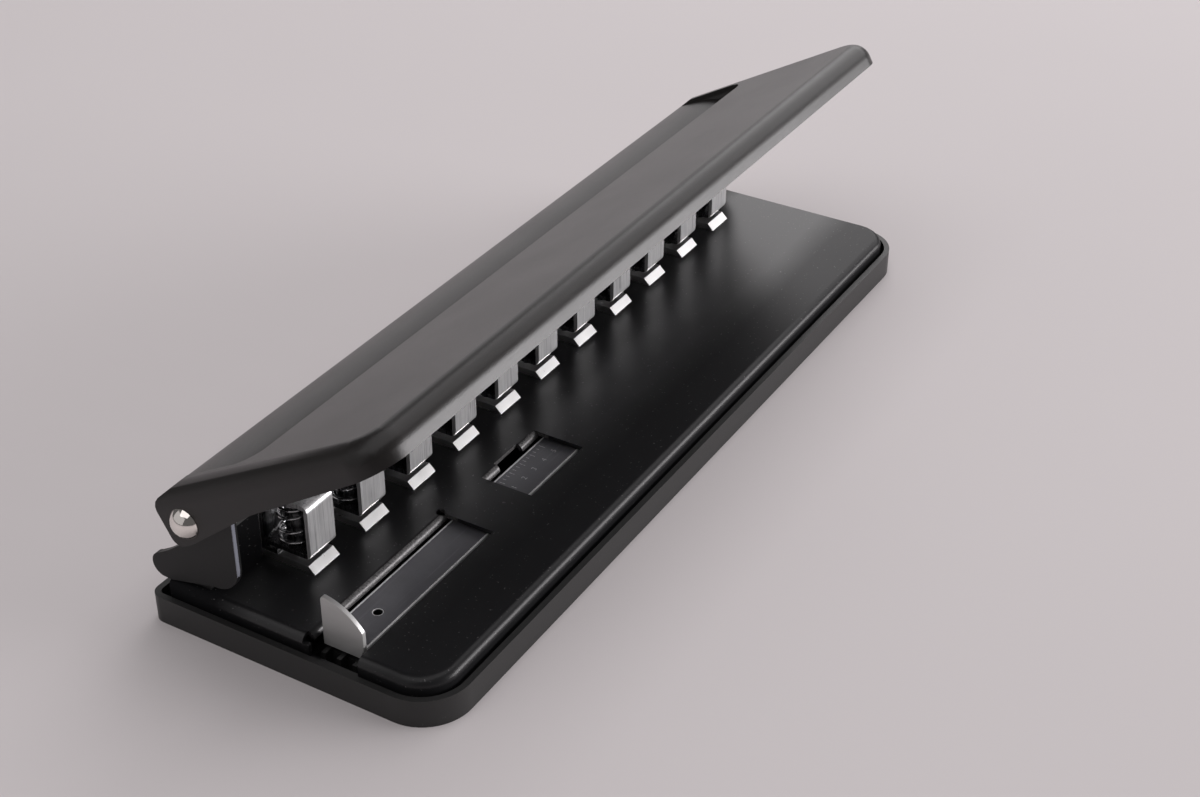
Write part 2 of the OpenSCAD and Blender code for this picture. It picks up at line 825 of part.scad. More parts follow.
module die_block(i) {
    color([0.86, 0.86, 0.86])
        translate([unit_x(i), 0, 0])
            difference() {
                along_x(unit_w)
                    polygon([
                        [die_front, plate_top], [unit_rear, plate_top], [unit_rear, die_top],
                        [die_front + toe_bevel, die_top]]);
                translate([0, unit_y, plate_top - 1])
                    linear_extrude(die_h + 2)
                        mushroom(cut_play);
                rivet_holes(plate_top - 1, die_top + 1);
            }
}

// Folded strip: front plate, top, rear leg, guide shelf and riveted foot
module frame_profile() {
    difference() {
        round_rect(unit_front, unit_rear, shelf_z, frame_top, frame_bend);
        round_rect(unit_front + frame_t, unit_rear - frame_t, shelf_top, frame_top - frame_t, frame_inner_r);
    }
    translate([unit_rear - frame_t, die_top])
        square([frame_t, shelf_top + frame_bend - die_top]);
    translate([paper_stop_y, die_top])
        square([unit_rear - paper_stop_y, frame_t]);
}

module guide_frame(i) {
    color([0.8, 0.8, 0.8])
        translate([unit_x(i), 0, 0])
            difference() {
                along_x(unit_w)
                    frame_profile();
                translate([0, unit_y, frame_top - frame_t - 1])
                    cylinder(frame_t + 2, d = button_d + 2 * fit);
                translate([0, unit_y, die_top - 1])
                    linear_extrude(shelf_top - die_top + 2)
                        mushroom(cut_play);
                rivet_holes(die_top - 1, die_top + frame_t + 0.5);
            }
}

module punch_pin(i) {
    color([0.55, 0.55, 0.56])
        translate([unit_x(i), unit_y, 0]) {
            translate([0, 0, cut_tip_z])
                linear_extrude(flange_top - cut_tip_z)
                    mushroom(0);
            translate([0, 0, flange_top - flange_t])
                cylinder(flange_t, d = flange_d);
            translate([0, 0, flange_top - eps])
                cylinder(button_top - flange_top - 0.8, d = button_d);
            translate([0, 0, button_top - 0.8 - 2 * eps])
                cylinder(0.8 + 2 * eps, d1 = button_d, d2 = button_d - 1.6);
        }
}

// Height of the wire's centre after t turns: closed end turns, open turns between them
function wire_z(t) = spring_low + end_rise * min(t, end_turns)
    + working_rise * max(0, min(t - end_turns, working_turns))
    + end_rise * max(0, t - end_turns - working_turns);

// Centres of the wire's rings, and the ring of points round each centre
ring_count = round(spring_turns * curl_rings);
wire_path = [for (k = [0:ring_count]) let (t = k * spring_turns / ring_count)
    [spring_r * cos(360 * t), spring_r * sin(360 * t), wire_z(t)]];
wire_rings = [for (k = [0:ring_count]) let (a = 360 * k * spring_turns / ring_count)
    for (j = [0:wire_sides - 1]) let (b = 360 * j / wire_sides)
        wire_path[k] + wire_d / 2 * [cos(b) * cos(a), cos(b) * sin(a), sin(b)]];
wire_gap = min([for (k = [0:ring_count]) for (m = [k + curl_rings - 2:1:ring_count])
    norm(wire_path[m] - wire_path[k]) - wire_d]);
echo(least_gap_between_spring_turns = wire_gap);

module return_spring(i) {
    last = ring_count * wire_sides;
    sides = [for (k = [0:ring_count - 1]) for (j = [0:wire_sides - 1])
        let (a = k * wire_sides + j, b = k * wire_sides + (j + 1) % wire_sides)
            each [[a, a + wire_sides, b], [b, a + wire_sides, b + wire_sides]]];
    caps = [for (j = [1:wire_sides - 2])
        each [[0, j, j + 1], [last, last + j + 1, last + j]]];
    color([0.2, 0.2, 0.21])
        translate([unit_x(i), unit_y, 0])
            polyhedron(wire_rings, concat(sides, caps));
}

base_tray();
base_plate();
hinge_bracket_left();
hinge_bracket_right();
bracket_screws();
pivot_screws();
pivot_washers();
pivot_nuts();
handle();
press_bar();
gauge_strip();
gauge_stop();
gauge_guides();
unit_rivets();
for (i = [1:unit_count]) die_block(i);
for (i = [1:unit_count]) guide_frame(i);
for (i = [1:unit_count]) return_spring(i);
for (i = [1:unit_count]) punch_pin(i);
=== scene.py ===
import math
import bpy
from mathutils import Matrix, Vector


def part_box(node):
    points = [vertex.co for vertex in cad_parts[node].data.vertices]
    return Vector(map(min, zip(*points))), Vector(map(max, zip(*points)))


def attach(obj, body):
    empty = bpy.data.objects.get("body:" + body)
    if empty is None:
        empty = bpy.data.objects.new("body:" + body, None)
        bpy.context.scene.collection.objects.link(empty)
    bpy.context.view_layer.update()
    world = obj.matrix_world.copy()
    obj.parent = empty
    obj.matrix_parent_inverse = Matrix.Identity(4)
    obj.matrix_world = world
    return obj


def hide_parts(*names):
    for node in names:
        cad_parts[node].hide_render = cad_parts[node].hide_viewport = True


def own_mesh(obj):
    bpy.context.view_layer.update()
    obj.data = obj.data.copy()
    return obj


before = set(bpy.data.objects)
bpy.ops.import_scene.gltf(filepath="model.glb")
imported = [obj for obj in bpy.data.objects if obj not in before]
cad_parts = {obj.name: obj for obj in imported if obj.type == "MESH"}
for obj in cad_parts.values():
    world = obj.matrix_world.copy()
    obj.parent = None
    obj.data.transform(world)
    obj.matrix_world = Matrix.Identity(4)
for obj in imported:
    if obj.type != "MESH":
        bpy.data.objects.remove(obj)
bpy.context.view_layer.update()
mm = 0.001
unitNumbers = ["%02d" % n for n in range(1, 12)]
middleRow = 5
middleUnit = unitNumbers[middleRow]
print("frame loaded:", len(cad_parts), "nodes")


# Wraps a shader socket, so that maths on it reads as a plain expression
class Wire:
    def __init__(self, tree, socket=None):
        self.tree = tree
        self.socket = socket

    def node(self, kind, settings=None, sockets=None, out=0):
        made = self.tree.nodes.new("ShaderNode" + kind)
        for key, value in (settings or {}).items():
            if key == "stops":
                while len(made.color_ramp.elements) < len(value):
                    made.color_ramp.elements.new(0.5)
                for stop, (place, tone) in zip(made.color_ramp.elements, value):
                    stop.position = place
                    stop.color = (tone, tone, tone, 1.0)
            else:
                setattr(made, key, value)
        for key, value in (sockets or {}).items():
            if isinstance(value, Wire):
                self.tree.links.new(value.socket, made.inputs[key])
            else:
                made.inputs[key].default_value = value
        return Wire(self.tree, made.outputs[out])

    def maths(self, operation, first, second=0.0):
        return self.node("Math", {"operation": operation}, {0: first, 1: second})

    def __add__(self, other):
        return self.maths("ADD", self, other)

    def __mul__(self, other):
        return self.maths("MULTIPLY", self, other)

    def __sub__(self, other):
        return self.maths("SUBTRACT", self, other)

    def __rsub__(self, other):
        return self.maths("SUBTRACT", other, self)

    def __truediv__(self, other):
        return self.maths("DIVIDE", self, other)

    def __rtruediv__(self, other):
        return self.maths("DIVIDE", other, self)

    def __gt__(self, other):
        return self.maths("GREATER_THAN", self, other)

    def __lt__(self, other):
        return self.maths("LESS_THAN", self, other)

    __radd__ = __add__
    __rmul__ = __mul__


# A new material: its tree as a Wire, its shader node and its object coordinates
def newFinish(name, **fixed):
    material = bpy.data.materials.new(name)
    material.use_nodes = True
    tree = material.node_tree
    shader = tree.nodes["Principled BSDF"]
    for socket, value in fixed.items():
        shader.inputs[socket.replace("_", " ")].default_value = value
    wire = Wire(tree)
    place = wire.node("TexCoord", out=3)
    return material, wire, shader, place


def feed(wire, shader, **sockets):
    for name, value in sockets.items():
        wire.tree.links.new(value.socket, shader.inputs[name.replace("_", " ")])


def noise(wire, place, scale, detail=3.0, rough=0.55):
    sockets = {"Vector": place, "Scale": scale, "Detail": detail, "Roughness": rough}
    return wire.node("TexNoise", None, sockets)


# Noise drawn out into lines; factors gives the stretch along each axis
def lineNoise(wire, place, factors, detail=3.0, rough=0.55):
    drawn = wire.node("Mapping", None, {"Vector": place, "Scale": factors})
    return noise(wire, drawn, 1.0, detail, rough)


# One coordinate of a place: 0 along the row, 1 from front to rear, 2 upwards
def coordinate(wire, place, axis):
    return wire.node("SeparateXYZ", None, {"Vector": place}, out=axis)


# A mix of two colours, each of them fixed or a Wire
def tint(wire, factor, first, second):
    pair = [c if isinstance(c, Wire) else (*c, 1.0) for c in (first, second)]
    return wire.node("Mix", {"data_type": "RGBA"}, {0: factor, 6: pair[0], 7: pair[1]}, out=2)


def ramp(wire, value, *stops):
    return wire.node("ValToRGB", {"stops": stops}, {"Fac": value})


def relief(wire, height, strength, depth):
    return wire.node("Bump", None, {"Height": height, "Strength": strength, "Distance": depth})


# Sprayed coat, shared by paints and mouldings: fine orange peel over faint cloudiness
sprayedSet = {"cloudScale": 28.0, "cloudShare": 0.55, "peelShare": 0.45, "cloudRough": 0.12, "peelRough": 0.1,
              "strength": 0.35, "depth": 0.12 * mm, "dustScale": 900.0, "dustTone": (0.32, 0.31, 0.30)}


def sprayed(wire, place, grain, rough):
    peel = noise(wire, place, grain, 2.0)
    cloud = noise(wire, place, sprayedSet["cloudScale"], 4.0)
    shade = cloud * sprayedSet["cloudShare"] + peel * sprayedSet["peelShare"]
    roughness = rough + (cloud - 0.5) * sprayedSet["cloudRough"] + (peel - 0.5) * sprayedSet["peelRough"]
    bump = relief(wire, peel, sprayedSet["strength"], sprayedSet["depth"])
    return peel, cloud, shade, roughness, bump


# A sprayed coat with a few specks of dust
def powderCoat(name, dark, light, rough, grain, dust, gloss=0.5):
    material, wire, shader, place = newFinish(name, Specular_IOR_Level=gloss)
    _, _, shade, roughness, bump = sprayed(wire, place, grain, rough)
    specks = ramp(wire, noise(wire, place, sprayedSet["dustScale"], 1.0), (0.74, 0.0), (0.78, 1.0)) * dust
    colour = tint(wire, specks, tint(wire, shade, dark, light), sprayedSet["dustTone"])
    feed(wire, shader, Base_Color=colour, Roughness=roughness, Normal=bump)
    return material


# Steel with fine lines along one direction; lines gives their stretch, marks the weight of darker scores
linedSet = {"smearScale": 140.0, "scoreStretch": 0.35, "hairShare": 0.7, "smearShare": 0.3, "smearRough": 0.1,
            "strength": 0.3}


def linedSteel(name, dark, light, rough, lines, depth, metal=1.0, spread=0.22, marks=0.25):
    material, wire, shader, place = newFinish(name, Metallic=metal)
    hair = lineNoise(wire, place, lines, 3.0, 0.65)
    smear = noise(wire, place, linedSet["smearScale"])
    shade = hair * linedSet["hairShare"] + smear * linedSet["smearShare"]
    if marks:
        scores = lineNoise(wire, place, tuple(linedSet["scoreStretch"] * v for v in lines), 1.0)
        shade = shade - ramp(wire, scores, (0.68, 0.0), (0.76, 1.0)) * marks
    feed(wire, shader, Base_Color=tint(wire, shade, dark, light),
         Roughness=rough + (hair - 0.5) * spread + (smear - 0.5) * linedSet["smearRough"],
         Normal=relief(wire, hair, linedSet["strength"], depth))
    return material


coatSet = {
    "mouldedBlack": {"dark": (0.011, 0.011, 0.0112), "light": (0.021, 0.021, 0.0206), "rough": 0.44,
                     "grain": 2400.0, "dust": 0.05},
    "mattCharcoal": {"dark": (0.0110, 0.0096, 0.0092), "light": (0.0160, 0.0142, 0.0138), "rough": 0.31,
                     "grain": 2600.0, "dust": 0.02, "gloss": 0.37},
    "nylonSpacer": {"dark": (0.62, 0.61, 0.58), "light": (0.72, 0.71, 0.68), "rough": 0.5,
                    "grain": 1500.0, "dust": 0.0}}
steelSet = {
    "groundSteel": {"dark": (0.82, 0.82, 0.815), "light": (0.87, 0.87, 0.86), "rough": 0.30,
                    "lines": (2600.0, 70.0, 70.0), "depth": 0.005 * mm, "spread": 0.05, "marks": 0.0},
    "stopSteel": {"dark": (0.55, 0.545, 0.54), "light": (0.65, 0.65, 0.645), "rough": 0.42,
                  "lines": (400.0, 90.0, 400.0), "depth": 0.004 * mm, "metal": 0.6, "spread": 0.1},
    "oiledWire": {"dark": (0.36, 0.36, 0.37), "light": (0.62, 0.62, 0.63), "rough": 0.16,
                  "lines": (900.0, 900.0, 900.0), "depth": 0.006 * mm},
    "toolSteel": {"dark": (0.14, 0.14, 0.145), "light": (0.28, 0.28, 0.29), "rough": 0.26,
                  "lines": (1500.0, 1500.0, 60.0), "depth": 0.02 * mm},
    "nickelDome": {"dark": (0.88, 0.835, 0.79), "light": (0.93, 0.89, 0.85), "rough": 0.11,
                   "lines": (300.0, 300.0, 300.0), "depth": 0.002 * mm, "spread": 0.04},
    "zincPlate": {"dark": (0.42, 0.42, 0.44), "light": (0.66, 0.66, 0.67), "rough": 0.36,
                  "lines": (500.0, 500.0, 500.0), "depth": 0.03 * mm},
    "blackOxide": {"dark": (0.030, 0.030, 0.031), "light": (0.075, 0.075, 0.076), "rough": 0.40,
                   "lines": (800.0, 800.0, 800.0), "depth": 0.03 * mm}}

# Folded frame strip: bright outside with lines down its front; inside, painted shade: the inner faces
# coloured dark and made glossier
foldedSet = {"wall": 1.4 * mm, "rim": 0.15 * mm, "lines": (2600.0, 2600.0, 40.0),
             "scratches": (1300.0, 1300.0, 60.0), "bright": ((0.36, 0.36, 0.37), (0.92, 0.92, 0.92)),
             "insideShade": ((0.05, 0.05, 0.052), (0.24, 0.24, 0.245)), "metal": 0.62, "rough": 0.36,
             "smearScale": 160.0, "hairShare": 1.2, "smearShare": 0.3, "darken": 0.25, "scratchShare": 0.45,
             "hairRough": 0.2, "insideGloss": 0.08, "strength": 0.3, "depth": 0.05 * mm}


def foldedStrip():
    low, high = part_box("guide_frame_" + middleUnit)
    material, wire, shader, place = newFinish("foldedStrip")
    across = coordinate(wire, place, 1)
    height = coordinate(wire, place, 2)
    # Inside mask: painted shade, the faces within the fold take a dark colour where shade falls
    inside = (across > low.y + foldedSet["wall"]) * (across < high.y - foldedSet["rim"])
    inside = inside * (height < high.z - foldedSet["wall"])
    hair = lineNoise(wire, place, foldedSet["lines"], 3.0, 0.65)
    scratch = ramp(wire, lineNoise(wire, place, foldedSet["scratches"], 1.0), (0.66, 0.0), (0.72, 1.0))
    smear = noise(wire, place, foldedSet["smearScale"])
    shade = hair * foldedSet["hairShare"] + smear * foldedSet["smearShare"] - foldedSet["darken"]
    bright = tint(wire, shade - scratch * foldedSet["scratchShare"], *foldedSet["bright"])
    colour = tint(wire, inside, bright, tint(wire, smear, *foldedSet["insideShade"]))
    metal = foldedSet["metal"] + inside * (1.0 - foldedSet["metal"])
    roughness = foldedSet["rough"] + (hair - 0.5) * foldedSet["hairRough"] - inside * foldedSet["insideGloss"]
    feed(wire, shader, Base_Color=colour, Metallic=metal, Roughness=roughness,
         Normal=relief(wire, hair, foldedSet["strength"], foldedSet["depth"]))
    return material


# Plate paint: glossy in the middle, dull in front and behind the dies; the curled window lips painted a
# mottled lighter grey as a painted highlight
plateSet = {"dark": (0.009, 0.009, 0.010), "light": (0.017, 0.017, 0.018), "grain": 2000.0, "rough": 0.36,
            "coatRough": 0.32, "dustAndSheenTone": (0.32, 0.31, 0.31), "dustScale": 1100.0, "dust": 0.25,
            "lipFront": -9.0 * mm, "lipRear": -1.5 * mm, "lipDrop": 0.12 * mm, "endRim": 9.0 * mm,
            "sheenScale": 1700.0, "leastSheen": 0.08, "coatFront": -70.0 * mm, "coatSpan": 100.0 * mm,
            "wander": 6.0 * mm}


def platePaint():
    low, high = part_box("base_plate")
    material, wire, shader, place = newFinish("satinBlack", Specular_IOR_Level=0.0,
                                              Coat_Roughness=plateSet["coatRough"])
    along = coordinate(wire, place, 0)
    across = coordinate(wire, place, 1)
    height = coordinate(wire, place, 2)
    _, cloud, shade, roughness, bump = sprayed(wire, place, plateSet["grain"], plateSet["rough"])
    # Painted highlight: the curled window lips are given a lighter grey colour that stands in for the light
    # on them
    lipSheenMask = (along > low.x + plateSet["endRim"]) * (along < 0.0) * (height < high.z - plateSet["lipDrop"])
    lipSheenMask = lipSheenMask * (across > plateSet["lipFront"]) * (across < plateSet["lipRear"])
    sheenMottle = ramp(wire, noise(wire, place, plateSet["sheenScale"]), (0.35, 0.0), (0.65, 0.45))
    dust = ramp(wire, noise(wire, place, plateSet["dustScale"], 1.0), (0.72, 0.0), (0.76, 1.0))
    # Real dust specks and the painted lip highlight, mixed into one grey
    dustAndSheen = wire.maths("MAXIMUM", dust * plateSet["dust"], lipSheenMask * (plateSet["leastSheen"] + sheenMottle))
    paint = tint(wire, shade, plateSet["dark"], plateSet["light"])
    depth = (across + (cloud - 0.5) * plateSet["wander"] - plateSet["coatFront"]) / plateSet["coatSpan"]
    coat = ramp(wire, depth, (0.0, 0.45), (0.38, 0.55), (0.5, 1.0), (0.86, 1.0), (1.0, 0.0))
    feed(wire, shader, Base_Color=tint(wire, dustAndSheen, paint, plateSet["dustAndSheenTone"]), Coat_Weight=coat,
         Roughness=roughness, Normal=bump)
    return material


# Bracket paint, with the blanked front edge partly bare
bracketSet = {"dark": (0.0065, 0.0065, 0.0068), "light": (0.0115, 0.0115, 0.0118), "grain": 2200.0,
              "rough": 0.42, "gloss": 0.28, "bareTone": (0.27, 0.28, 0.33), "bareMetal": 0.4,
              "bareDepth": 0.3 * mm, "bareWidth": 1.15 * mm, "ragged": 0.3 * mm}


def bracketPaint():
    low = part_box("hinge_bracket_left")[0]
    material, wire, shader, place = newFinish("bracketBlack", Specular_IOR_Level=bracketSet["gloss"])
    sideways = wire.maths("ABSOLUTE", coordinate(wire, place, 0))
    across = coordinate(wire, place, 1)
    peel, _, shade, roughness, bump = sprayed(wire, place, bracketSet["grain"], bracketSet["rough"])
    worn = (peel - 0.5) * bracketSet["ragged"]
    bare = (across + worn) < low.y + bracketSet["bareDepth"]
    bare = bare * ((sideways + worn) > -low.x - bracketSet["bareWidth"])
    paint = tint(wire, shade, bracketSet["dark"], bracketSet["light"])
    feed(wire, shader, Base_Color=tint(wire, bare, paint, bracketSet["bareTone"]),
         Metallic=bare * bracketSet["bareMetal"], Roughness=roughness, Normal=bump)
    return material


# Painted gauge strip: dark paint; bright edge bands and a ring round the hole, partly bare metal where the
# shear and the drill cut it and partly painted highlight; the bore coloured near black as painted shade
stripSet = {"dark": (0.112, 0.112, 0.123), "light": (0.182, 0.182, 0.200), "bareTone": (0.95, 0.95, 0.95),
            "boreShadeTone": (0.012, 0.012, 0.013), "holeX": 15.4 * mm, "ringR": 1.72 * mm, "boreR": 1.62 * mm,
            "skin": 0.2 * mm, "edge": 0.62 * mm, "ragged": 0.4 * mm, "raggedScale": 1400.0,
            "streaks": (30.0, 900.0, 900.0), "streakShare": 0.4, "cloudScale": 90.0, "rough": 0.30,
            "cloudRough": 0.1, "bareRough": 0.06, "bareMetal": 0.1, "strength": 0.15, "depth": 0.06 * mm}


def paintedStrip():
    low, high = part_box("gauge_strip")
    middle = (low.y + high.y) / 2
    half = (high.y - low.y) / 2
    hole = (low.x + stripSet["holeX"], middle, 0.0)
    material, wire, shader, place = newFinish("paintedStrip", Specular_IOR_Level=0.5)
    fromMiddle = wire.maths("ABSOLUTE", coordinate(wire, place, 1) - middle)
    height = coordinate(wire, place, 2)
    flat = wire.node("VectorMath", {"operation": "MULTIPLY"}, {0: place, 1: (1.0, 1.0, 0.0)})
    reach = wire.node("VectorMath", {"operation": "DISTANCE"}, {0: flat, 1: hole}, out=1)
    ragged = noise(wire, place, stripSet["raggedScale"], 2.0)
    worn = (ragged - 0.5) * stripSet["ragged"]
    ring = ((reach + worn) < stripSet["ringR"]) * (height > high.z - stripSet["skin"])
    # Edge bands and the ring round the hole: partly bare cut metal, partly painted highlight, coloured near
    # white
    bare = wire.maths("MAXIMUM", (fromMiddle + worn) > half - stripSet["edge"], ring)
    # Bore: painted shade, the wall of the hole coloured near black
    boreShade = (reach < stripSet["boreR"]) * (height < high.z - stripSet["skin"])
    cloud = noise(wire, place, stripSet["cloudScale"], 4.0)
    streak = ramp(wire, lineNoise(wire, place, stripSet["streaks"], 2.0), (0.62, 0.0), (0.70, 1.0))
    paint = tint(wire, cloud + streak * stripSet["streakShare"], stripSet["dark"], stripSet["light"])
    colour = tint(wire, bare, tint(wire, boreShade, paint, stripSet["boreShadeTone"]), stripSet["bareTone"])
    feed(wire, shader, Base_Color=colour, Metallic=bare * stripSet["bareMetal"],
         Roughness=stripSet["rough"] + (cloud - 0.5) * stripSet["cloudRough"] + bare * stripSet["bareRough"],
         Normal=relief(wire, ragged, stripSet["strength"], stripSet["depth"]))
    return material


finishes = {name: powderCoat(name, **coat) for name, coat in coatSet.items()}
finishes.update({name: linedSteel(name, **steel) for name, steel in steelSet.items()})
for make in (foldedStrip, bracketPaint, platePaint, paintedStrip):
    made = make()
    finishes[made.name] = made
nodeFinishes = {
    "base_tray": "mouldedBlack", "base_plate": "satinBlack", "hinge_bracket": "bracketBlack",
    "handle": "mattCharcoal", "press_bar": "zincPlate", "gauge_strip": "paintedStrip",
    "gauge_stop": "stopSteel", "gauge_guides": "zincPlate", "unit_rivets": "zincPlate",
    "die_block": "groundSteel", "guide_frame": "foldedStrip", "return_spring": "oiledWire",
    "punch_pin": "toolSteel", "pivot_screws": "nickelDome", "pivot_washers": "nylonSpacer",
    "pivot_nuts": "zincPlate", "bracket_screws": "blackOxide"}


def finishOf(node):
    return next(finishes[name] for start, name in nodeFinishes.items() if node.startswith(start))


for name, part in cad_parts.items():
    part.data.materials.clear()
    part.data.materials.append(finishOf(name))
print("finishes made:", len(finishes))


def pickOnly(piece):
    bpy.ops.object.select_all(action="DESELECT")
    piece.select_set(True)
    bpy.context.view_layer.objects.active = piece


def useModifier(piece, kind, **settings):
    added = piece.modifiers.new(kind.lower(), kind)
    for key, value in settings.items():
        setattr(added, key, value)
    bpy.ops.object.modifier_apply(modifier=added.name)


# A CAD solid's own shape with its triangles joined and its sharp edges broken, as a deburred part has them
deburrSet = {"weld": 0.01 * mm, "flat": 0.8, "crease": 38.0, "steps": 2, "weight": 60}


def deburred(node, name, edge):
    crease = math.radians(deburrSet["crease"])
    piece = bpy.data.objects.new(name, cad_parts[node].data.copy())
    bpy.context.scene.collection.objects.link(piece)
    pickOnly(piece)
    bpy.ops.mesh.customdata_custom_splitnormals_clear()
    bpy.ops.object.mode_set(mode="EDIT")
    bpy.ops.mesh.select_all(action="SELECT")
    bpy.ops.mesh.remove_doubles(threshold=deburrSet["weld"])
    bpy.ops.mesh.dissolve_limited(angle_limit=math.radians(deburrSet["flat"]))
    bpy.ops.object.mode_set(mode="OBJECT")
    useModifier(piece, "BEVEL", width=edge, segments=deburrSet["steps"], limit_method="ANGLE",
                angle_limit=crease, use_clamp_overlap=True)
    bpy.ops.object.shade_smooth_by_angle(angle=crease)
    useModifier(piece, "WEIGHTED_NORMAL", keep_sharp=True, weight=deburrSet["weight"])
    return piece


def settle(piece, body, slotName, finish, *nodes):
    piece.data.materials.clear()
    piece.data.materials.append(finish)
    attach(piece, body)
    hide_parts(*nodes)


# The same mesh again, moved along the row
def repeated(piece, name, shift):
    twin = bpy.data.objects.new(name, piece.data.copy())
    twin.data.transform(Matrix.Translation((shift, 0.0, 0.0)))
    bpy.context.scene.collection.objects.link(twin)
    return twin


# Pieces that stand once: node, broken edge, body, material slot
singleSet = {
    "handle": {"edge": 0.25 * mm, "body": "handle", "slot": "handle_paint"},
    "base_tray": {"edge": 0.7 * mm, "body": "base", "slot": "tray_plastic"},
    "base_plate": {"edge": 0.18 * mm, "body": "base", "slot": "plate_paint"},
    "hinge_bracket_left": {"edge": 0.3 * mm, "body": "base", "slot": "bracket_paint"},
    "hinge_bracket_right": {"edge": 0.3 * mm, "body": "base", "slot": "bracket_paint"},
    "gauge_stop": {"edge": 0.16 * mm, "body": "gauge", "slot": "bright_steel"},
    "gauge_strip": {"edge": 0.14 * mm, "body": "gauge", "slot": "gauge_paint"},
    "pivot_screws": {"edge": 0.1 * mm, "body": "base", "slot": "screw_steel"}}
for node, single in singleSet.items():
    piece = deburred(node, node + "Shape", single["edge"])
    settle(piece, single["body"], single["slot"], finishOf(node), node)
print("single pieces made:", len(singleSet))

# Pieces of the eleven punch units: each is made at the middle unit and repeated along the row
unitSet = {
    "guide_frame": {"edge": 0.22 * mm, "slot": "frame_steel"},
    "die_block": {"edge": 0.4 * mm, "slot": "bright_steel"},
    "punch_pin": {"edge": 0.15 * mm, "slot": "tool_steel"}}
rowEnds = [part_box("die_block_" + number)[0].x for number in (unitNumbers[0], unitNumbers[-1])]
pitch = (rowEnds[1] - rowEnds[0]) / (len(unitNumbers) - 1)
for kind, part in unitSet.items():
    first = deburred(kind + "_" + middleUnit, kind + "Shape" + middleUnit, part["edge"])
    for row, number in enumerate(unitNumbers):
        shift = (row - middleRow) * pitch
        piece = first if row == middleRow else repeated(first, kind + "Shape" + number, shift)
        body = "punch_" + number if kind == "punch_pin" else "base"
        settle(piece, body, part["slot"], finishOf(kind), kind + "_" + number)
print("unit pieces made:", len(unitSet) * len(unitNumbers))

# Return springs: round wire with closed end turns, open between them
springSet = {"wire": 1.15 * mm, "radius": 5.275 * mm, "endRise": 1.75 * mm, "workingTurns": 1.9,
             "pointsPerTurn": 40, "roundness": 6, "weld": 0.005 * mm, "crease": 50.0, "keep": 0.456}
springLow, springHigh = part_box("return_spring_" + middleUnit)
wireR = springSet["wire"] / 2
coilR = springSet["radius"]
pinLow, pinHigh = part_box("punch_pin_" + middleUnit)
coilX = (pinLow.x + pinHigh.x) / 2
coilY = (pinLow.y + pinHigh.y) / 2
working = springSet["workingTurns"]
endRise = springSet["endRise"]
turns = working + 2
openRise = (springHigh.z - springLow.z - springSet["wire"] - 2 * endRise) / working
path = bpy.data.curves.new("springWire", "CURVE")
path.dimensions = "3D"
path.bevel_depth = wireR
path.bevel_resolution = springSet["roundness"]
path.use_fill_caps = True
line = path.splines.new("POLY")
pointCount = int(turns * springSet["pointsPerTurn"])
line.points.add(pointCount)
for k, point in enumerate(line.points):
    t = turns * k / pointCount
    closed = min(t, 1.0) + max(0.0, t - 1.0 - working)
    rise = endRise * closed + openRise * max(0.0, min(t - 1.0, working))
    angle = 2 * math.pi * t
    x = coilX + coilR * math.cos(angle)
    y = coilY + coilR * math.sin(angle)
    point.co = (x, y, springLow.z + wireR + rise, 1.0)
firstSpring = bpy.data.objects.new("springCoil" + middleUnit, path)
bpy.context.scene.collection.objects.link(firstSpring)
pickOnly(firstSpring)
bpy.ops.object.convert(target="MESH")
firstSpring = bpy.context.active_object
bpy.ops.object.mode_set(mode="EDIT")
bpy.ops.mesh.select_all(action="SELECT")
bpy.ops.mesh.remove_doubles(threshold=springSet["weld"])
bpy.ops.mesh.normals_make_consistent(inside=False)
bpy.ops.object.mode_set(mode="OBJECT")
bpy.ops.object.shade_smooth_by_angle(angle=math.radians(springSet["crease"]))
for row, number in enumerate(unitNumbers):
    shift = (row - middleRow) * pitch
    piece = firstSpring if row == middleRow else repeated(firstSpring, "springCoil" + number, shift)
    settle(piece, "base", "spring_steel", finishOf("return_spring"), "return_spring_" + number)
    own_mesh(piece)
print("springs wound:", len(unitNumbers))

# Ink of the scale, worn through in places
inkSet = {"worn": (0.10, 0.10, 0.11), "whole": (0.62, 0.62, 0.62), "wearScale": 2600.0, "rough": 0.45,
          "wearRough": 0.2, "gloss": 0.4}


def printedInk():
    material, wire, shader, place = newFinish("whiteInk", Specular_IOR_Level=inkSet["gloss"])
    wear = noise(wire, place, inkSet["wearScale"])
    colour = tint(wire, ramp(wire, wear, (0.36, 0.0), (0.5, 1.0)), inkSet["worn"], inkSet["whole"])
    feed(wire, shader, Base_Color=colour, Roughness=inkSet["rough"] + (wear - 0.5) * inkSet["wearRough"])
    return material


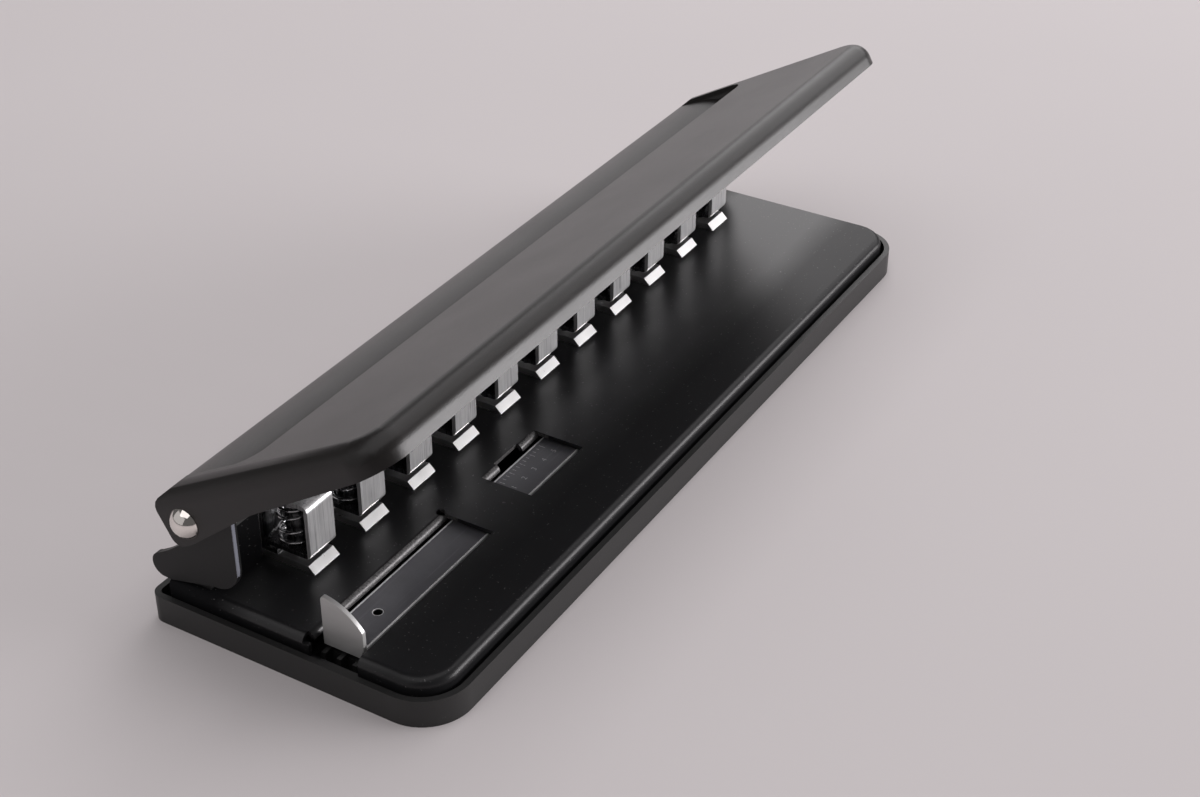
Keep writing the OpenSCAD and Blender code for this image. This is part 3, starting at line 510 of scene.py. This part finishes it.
# Scale on the gauge strip, in the short window: ticks and plain figures
scaleSet = {"start": -62.0 * mm, "step": 2.0 * mm, "count": 13, "tick": (0.22 * mm, 1.3 * mm),
            "longTick": 1.7, "margin": 1.6 * mm, "everyFigure": 3, "figureSize": 2.7 * mm,
            "figureDrop": 8.2 * mm, "ink": 0.02 * mm, "weld": 0.002 * mm}
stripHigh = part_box("gauge_strip")[1]
inkZ = stripHigh.z + scaleSet["ink"] / 2
scaleParts = []
for k in range(scaleSet["count"]):
    x = scaleSet["start"] + k * scaleSet["step"]
    numbered = k % scaleSet["everyFigure"] == 0
    length = scaleSet["tick"][1] * (scaleSet["longTick"] if numbered else 1.0)
    tickY = stripHigh.y - scaleSet["margin"] - length / 2
    bpy.ops.object.select_all(action="DESELECT")
    bpy.ops.mesh.primitive_cube_add(size=1.0, location=(x, tickY, inkZ))
    tick = bpy.context.active_object
    tick.scale = (scaleSet["tick"][0], length, scaleSet["ink"])
    bpy.ops.object.transform_apply(location=True, rotation=True, scale=True)
    scaleParts.append(tick)
    if numbered:
        bpy.ops.object.select_all(action="DESELECT")
        bpy.ops.object.text_add(location=(x, stripHigh.y - scaleSet["figureDrop"], stripHigh.z))
        figure = bpy.context.active_object
        figure.data.body = str(k // scaleSet["everyFigure"] + 1)
        figure.data.size = scaleSet["figureSize"]
        figure.data.align_x = "CENTER"
        figure.data.extrude = scaleSet["ink"]
        bpy.ops.object.convert(target="MESH")
        bpy.ops.object.transform_apply(location=True, rotation=True, scale=True)
        scaleParts.append(bpy.context.active_object)
bpy.ops.object.select_all(action="DESELECT")
for part in scaleParts:
    part.select_set(True)
bpy.context.view_layer.objects.active = scaleParts[0]
bpy.ops.object.join()
scale = bpy.context.active_object
scale.name = "gaugeScale"
bpy.ops.object.mode_set(mode="EDIT")
bpy.ops.mesh.select_all(action="SELECT")
bpy.ops.mesh.remove_doubles(threshold=scaleSet["weld"])
bpy.ops.mesh.normals_make_consistent(inside=False)
bpy.ops.object.mode_set(mode="OBJECT")
scale.data.materials.clear()
scale.data.materials.append(printedInk())
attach(scale, "gauge")
print("gauge scale printed:", len(scaleParts), "marks")

# Floor, light and camera
stageSet = {"floorSize": 8.0, "tone": ((0.675, 0.637, 0.642), (0.705, 0.667, 0.672)), "mottle": 3.0,
            "gloss": 0.15, "rough": 0.8, "fill": 0.10, "fillTone": (1.0, 0.985, 0.98, 1.0)}
bpy.ops.object.select_all(action="DESELECT")
bpy.ops.mesh.primitive_plane_add(size=stageSet["floorSize"], location=(0, 0, 0))
floor = bpy.context.active_object
floor.name = "floor"
floorFinish, wire, shader, place = newFinish("paleFloor", Specular_IOR_Level=stageSet["gloss"],
                                             Roughness=stageSet["rough"])
feed(wire, shader, Base_Color=tint(wire, noise(wire, place, stageSet["mottle"]), *stageSet["tone"]))
floor.data.materials.append(floorFinish)

world = bpy.data.worlds.new("studio")
bpy.context.scene.world = world
world.use_nodes = True
backdrop = world.node_tree.nodes["Background"]
backdrop.inputs["Color"].default_value = stageSet["fillTone"]
backdrop.inputs["Strength"].default_value = stageSet["fill"]

lampSet = {
    "key": {"place": (1.12, -1.64, 0.44), "size": (1.8, 0.8), "power": 14.0, "aim": 0.7, "spread": 80.0},
    "window": {"place": (1.64, 0.06, 0.95), "size": (1.9, 0.9), "power": 10.5},
    "sky": {"place": (0.0, 0.1, 2.2), "size": (4.4, 2.5), "power": 35.0},
    "back": {"place": (1.6, 1.1, 0.45), "size": (2.0, 0.9), "power": 4.2},
    "wall": {"place": (-1.75, 1.05, 0.95), "size": (3.2, 1.8), "power": 6.6}}
lampTint = (1.0, 0.972, 0.985)
for name, lamp in lampSet.items():
    light = bpy.data.lights.new(name, "AREA")
    light.shape = "RECTANGLE"
    light.size, light.size_y = lamp["size"]
    light.energy = lamp["power"]
    light.color = lampTint
    light.spread = math.radians(lamp.get("spread", 180.0))
    holder = bpy.data.objects.new(name, light)
    bpy.context.scene.collection.objects.link(holder)
    holder.location = lamp["place"]
    aim = Vector((0.0, 0.0, lamp.get("aim", 0.0)))
    holder.rotation_euler = (aim - holder.location).to_track_quat("-Z", "Y").to_euler()

viewSet = {"place": (-0.47815, -0.29093, 0.37256), "turn": (56.817, -0.242, -59.292), "lens": 57.53}
camera = bpy.data.objects.new("camera", bpy.data.cameras.new("camera"))
camera.data.lens = viewSet["lens"]
camera.location = viewSet["place"]
camera.rotation_euler = [math.radians(a) for a in viewSet["turn"]]
bpy.context.scene.collection.objects.link(camera)
bpy.context.scene.camera = camera
bpy.context.scene.view_settings.view_transform = "Standard"
print("stage, lamps and camera set")
